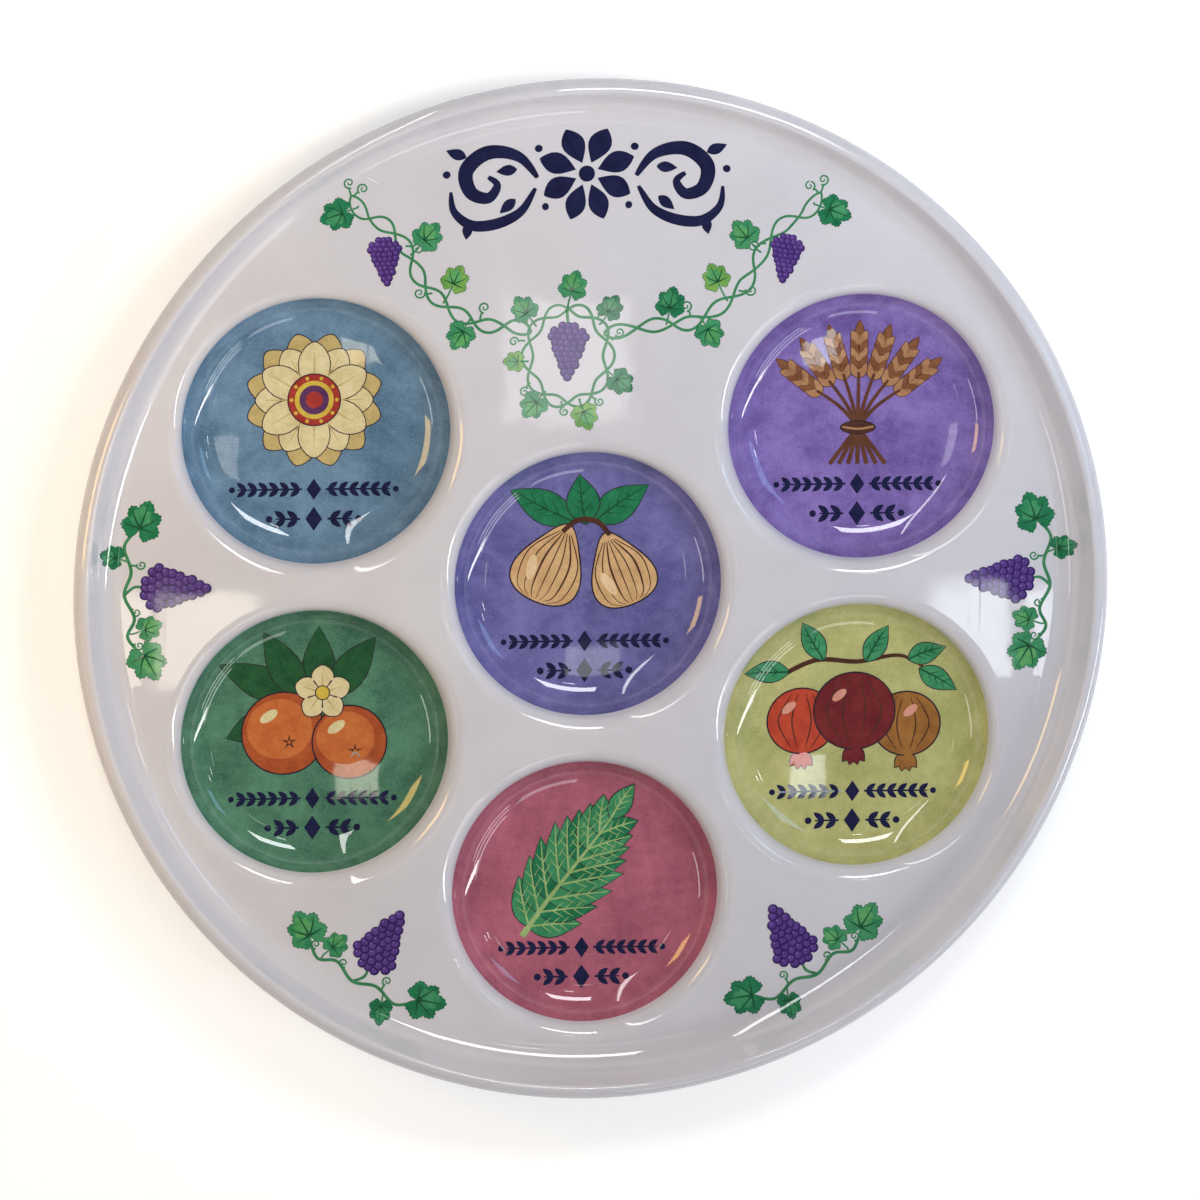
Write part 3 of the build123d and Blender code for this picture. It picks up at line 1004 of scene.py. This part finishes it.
for side in (-1, 1):
    root = (-18.0, 76.0) if side < 0 else (3.5, 75.5)
    path = smooth_path([root] + [(side * x - garland_shift, y) for x, y in limb_knots], 0.8)
    lay_stems(foil, path, 4.0, 2.0)
    leaves = [
        (36.5, 75.8, 300, 5.0, "leaf_mid"),
        (38.5, 91.5, 115, 4.8, "leaf_bright"),
        (46.8, 104.4, 130, 5.2, "leaf_mid"),
        (72.5, 111.5, 340, 5.6, "leaf_dark"),
    ]
    if side > 0:
        leaves.append((25, 84.0, 80, 5.2, "leaf_dark"))
    for x, y, angle, size, ink in leaves:
        turn = angle if side > 0 else 180 - angle
        lay_vine_leaf(foil, (side * x - garland_shift, y), turn, size, ink, path)
    lay_bunch(foil, (side * 59.5 - garland_shift, 103.8), 270 - side * 6, 1.0)
    for x, y, angle in ((31, 80, 80), (45, 88, 330), (53, 102, 165), (69, 117, 50), (68.5, 116.5, 110)):
        turn = angle if side > 0 else 180 - angle
        lay_tendril(foil, (side * x - garland_shift, y), turn, 1.5, side)
piece = make_foil("garland_print", foil, plate_white)
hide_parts("garland_foil")


# Spray foils: four smaller films of the same kind between the wells at the rim. Each runs up into
# the rim's cove and is printed with a vine stem, its leaves, and a bunch that points to the middle.
spray_inner = 100.0
spray_half_span = 12
spray_zero = 124
spray_rows = 48
cove_step = 2.95
wells_beside = (-30, 30)
spray_stem = [(-18.5, 9.2), (-13.5, 13.0), (-6, 11.0), (1, 13.0), (8, 10.0), (13.5, 12.0), (18.5, 8.2)]
spray_stalk = [(1, 13.0), (-1.4, 10.0), (-1, 6.5)]
spray_leaves = (
    (-20.2, 8.0, 200, 6.9, "leaf_dark"),
    (-10.5, 16.2, 110, 4.2, "leaf_dark"),
    (11.0, 6.2, 250, 4.4, "leaf_mid"),
    (20.2, 6.5, 330, 6.8, "leaf_mid"),
)
end_leaf_size = 6


def spray_row(angle, turn):
    """Places across a spray's film at an angle from its axis, from the wells out into the cove."""
    inner = spray_inner
    room = mouth_radius + foil_gap
    for side in wells_beside:
        near, off = polar(ring_radius, angle - side)
        if abs(off) < room:
            inner = max(inner, near + math.sqrt(room ** 2 - off ** 2))
    radii = [inner + (deck_radius - inner) * step / 4 for step in range(5)]
    radii += [deck_radius + cove_round * math.sin(math.radians(cove_step * step)) for step in range(1, 21)]
    return [polar(radius, angle + turn) for radius in radii]


def at_rim(places, turn, flip):
    """Places of a spray's drawing, X along the rim and Y outwards, carried to its place on the plate."""
    return moved([(spray_zero + y, x * flip) for x, y in places], (0, 0), turn)


sprays = (("right", 0, -1), ("left", 180, 1), ("lower_left", 240, -1), ("lower_right", 300, 1))
for name, turn, flip in sprays:
    foil = new_print(deck_ground)
    span = 2 * spray_half_span
    angles = [-spray_half_span + span * step / spray_rows for step in range(spray_rows + 1)]
    lay_film(foil, [spray_row(angle, turn) for angle in angles])
    path = at_rim(smooth_path(spray_stem, 0.7), turn, flip)
    lay_stroke(foil, path, (0.9, 1.1, 0.9), stem_lift, "vine_stem")
    for x, y, angle, size, ink in spray_leaves:
        spot = at_rim([(x, y)], turn, flip)[0]
        on_stalk = size < end_leaf_size
        lay_vine_leaf(foil, spot, turn + flip * (90 - angle), size, ink, path if on_stalk else None)
    lay_bunch(foil, at_rim([(-1.0, 7.0)], turn, flip)[0], turn + 180, 1.42)
    stalk = at_rim(smooth_path(spray_stalk, 0.7), turn, flip)
    lay_stroke(foil, stalk, stalk_widths, stalk_lift, "vine_stem")
    for x, y, angle in ((-8, 11.3, 60), (4, 12.0, 20), (15, 11.7, 40)):
        lay_tendril(foil, at_rim([(x, y)], turn, flip)[0], turn + 90 * flip + angle * flip, 1.3, flip)
    piece = make_foil("spray_print_" + name, foil, plate_white)
    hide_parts("spray_" + name + "_foil")


# Studio: a wide pale floor under the plate in a white surround. A soft key lamp and a fill light it,
# with a warm lamp at the left and a cool one at the right, and strips and square lamps overhead show
# in the glaze. The camera looks down from the upper left through a long lens. Sizes are in metres.
floor_reach = 4.0
floor_height = -0.0002
floor_colour = (0.86, 0.86, 0.86, 1)
corners = [(x * floor_reach, y * floor_reach, floor_height) for x, y in ((-1, -1), (1, -1), (1, 1), (-1, 1))]
floor_mesh = bpy.data.meshes.new("floor")
floor_mesh.from_pydata(corners, [], [(0, 1, 2, 3)])
floor = bpy.data.objects.new("floor", floor_mesh)
bpy.context.scene.collection.objects.link(floor)


def seen_directly(tree):
    """1 for a ray that comes from the camera or from a mirroring or clear surface."""
    path = add_node(tree, "ShaderNodeLightPath")
    mirrored = add_math(tree, "MAXIMUM", path.outputs["Is Glossy Ray"], path.outputs["Is Transmission Ray"])
    return add_math(tree, "MAXIMUM", path.outputs["Is Camera Ray"], mirrored)


paper_white = bpy.data.materials.new("floor_paper")
paper_white.use_nodes = True
tree = paper_white.node_tree
sheet = tree.nodes["Principled BSDF"]
sheet.inputs["Base Color"].default_value = floor_colour
sheet.inputs["Roughness"].default_value = 0.9
sheet.inputs["Specular IOR Level"].default_value = 0.1
place = add_node(tree, "ShaderNodeNewGeometry").outputs["Position"]
distance = add_node(tree, "ShaderNodeVectorMath", {0: place}, operation="LENGTH").outputs["Value"]
lift = add_math(tree, "MULTIPLY", seen_directly(tree), add_range(tree, distance, 0.3, 1.6, 0.46, 0.74))
glow = add_node(tree, "ShaderNodeEmission", {"Strength": lift})
both = add_node(tree, "ShaderNodeAddShader", {0: sheet.outputs[0], 1: glow.outputs[0]})
tree.links.new(both.outputs[0], tree.nodes["Material Output"].inputs["Surface"])
floor_mesh.materials.append(paper_white)

world = bpy.data.worlds.new("surround")
bpy.context.scene.world = world
world.use_nodes = True
tree = world.node_tree
sky = add_node(tree, "ShaderNodeTexCoord").outputs["Generated"]
way = add_node(tree, "ShaderNodeSeparateXYZ", {0: sky})
dimmed = add_range(tree, way.outputs["Z"], 0.08, 0.40, 1.0, 0.10)
tree.links.new(dimmed, tree.nodes["Background"].inputs["Strength"])
tree.nodes["Background"].inputs["Color"].default_value = (1, 1, 1, 1)


def soft_lamp(name, spot, target, width, depth, watts, colour):
    """A rectangular lamp at a spot, turned to a target."""
    data = bpy.data.lights.new(name, "AREA")
    data.shape = "RECTANGLE"
    data.size = width
    data.size_y = depth
    data.energy = watts
    data.color = colour
    lamp = bpy.data.objects.new(name, data)
    back = (Vector(spot) - Vector(target)).normalized()
    up = back.cross(Vector((1, 0, 0))).normalized()
    spin = Matrix((up.cross(back), up, back)).transposed().to_4x4()
    lamp.matrix_world = Matrix.Translation(spot) @ spin
    bpy.context.scene.collection.objects.link(lamp)
    return lamp


soft_lamp("key", (0.10, 0.20, 0.40), (0.03, 0.09, 0), 0.16, 0.10, 0.70, (0.94, 0.97, 1.0))
soft_lamp("fill", (0.25, -0.70, 0.60), (0, 0.06, 0), 0.26, 0.16, 0.40, (0.94, 0.96, 1.0))
soft_lamp("warm_side", (-0.26, 0.02, 0.25), (-0.16, 0.01, 0), 0.10, 0.10, 0.26, (1.0, 0.62, 0.16))
soft_lamp("cool_side", (0.28, 0.06, 0.28), (0.16, 0.02, 0), 0.10, 0.10, 0.10, (0.34, 0.62, 1.0))

lamp_height = 1.4
white = (1.0, 1.0, 1.0)


def strip_lamp(name, start, stop, width, radiance):
    """A long narrow lamp overhead between two places in plan, facing the floor."""
    run = Vector(stop) - Vector(start)
    watts = radiance * math.pi * run.length * width
    lamp = soft_lamp(name, (0, 0, lamp_height), (0, 0, 0), run.length, width, watts, white)
    middle = (Vector(start) + Vector(stop)) / 2
    turn = Matrix.Rotation(math.atan2(run.y, run.x), 4, "Z")
    lamp.matrix_world = Matrix.Translation((middle.x, middle.y, lamp_height)) @ turn


strip_lamp("strip_back", (-0.10, 0.03), (-0.70, 2.50), 0.06, 10.0)
strip_lamp("strip_right", (1.09, -0.72), (3.80, -0.90), 0.14, 16.0)
strip_spread = 0.22
strips = ((318, 1.2, 0.18, 5.0), (318, 1.7, 0.2, 5.5), (318, 2.4, 0.28, 6.0), (205, 2.0, 0.3, 5.0))
for number, (bearing, distance, width, radiance) in enumerate(strips):
    way = Vector(polar(1.0, bearing))
    across = strip_spread * distance * Vector((-way.y, way.x))
    strip_lamp("strip_" + str(number), distance * way - across, distance * way + across, width, radiance)

camera_data = bpy.data.cameras.new("camera")
camera = bpy.data.objects.new("camera", camera_data)
bpy.context.scene.collection.objects.link(camera)
bpy.context.scene.camera = camera
tilt = math.radians(13)
bearing = 119
roll = math.radians(0.6)
camera_distance = 3.0
view_width = 0.3526
film_width = 36
aim = Vector((0.0026, -0.0030, 0.020))
back = Vector((*polar(math.sin(tilt), bearing), math.cos(tilt)))
right = Vector((0, 1, 0)).cross(back).normalized()
up = back.cross(right)
spin = Matrix((right, up, back)).transposed().to_4x4() @ Matrix.Rotation(roll, 4, "Z")
camera_spot = aim + back * camera_distance
camera.matrix_world = Matrix.Translation(camera_spot) @ spin
camera_data.sensor_width = film_width
camera_data.lens = film_width * camera_distance / view_width
camera_data.dof.use_dof = False


def mirrored_lamp(name, x, y, wide, deep, radiance, colour):
    """A lamp overhead that the flat deck mirrors to the camera at a place and size in millimetres."""
    spot = Vector((x, y, deck_top)) / 1000
    sight = camera_spot - spot
    share = lamp_height / sight.z
    lamp_spot = spot + share * Vector((-sight.x, -sight.y, sight.z))
    wide *= (1 + share) / 1000
    deep *= (1 + share) / 1000
    soft_lamp(name, lamp_spot, spot, wide, deep, radiance * math.pi * wide * deep, colour)


panels = (
    ("top", -7, 68, 37, 36, 2.6, white),
    ("left", -113, -15, 30, 28, 5.0, (1.0, 0.95, 0.78)),
    ("right", 113, -14, 24, 28, 6.0, (0.92, 0.98, 1.0)),
    ("far_right", 360, 70, 30, 34, 15.0, white),
    ("farther_right", 600, 160, 40, 40, 14.0, white),
    ("far_top", 60, 400, 44, 30, 15.0, white),
)
for name, x, y, wide, deep, radiance, colour in panels:
    mirrored_lamp("panel_" + name, x, y, wide, deep, radiance, colour)

bpy.context.scene.view_settings.view_transform = "Standard"
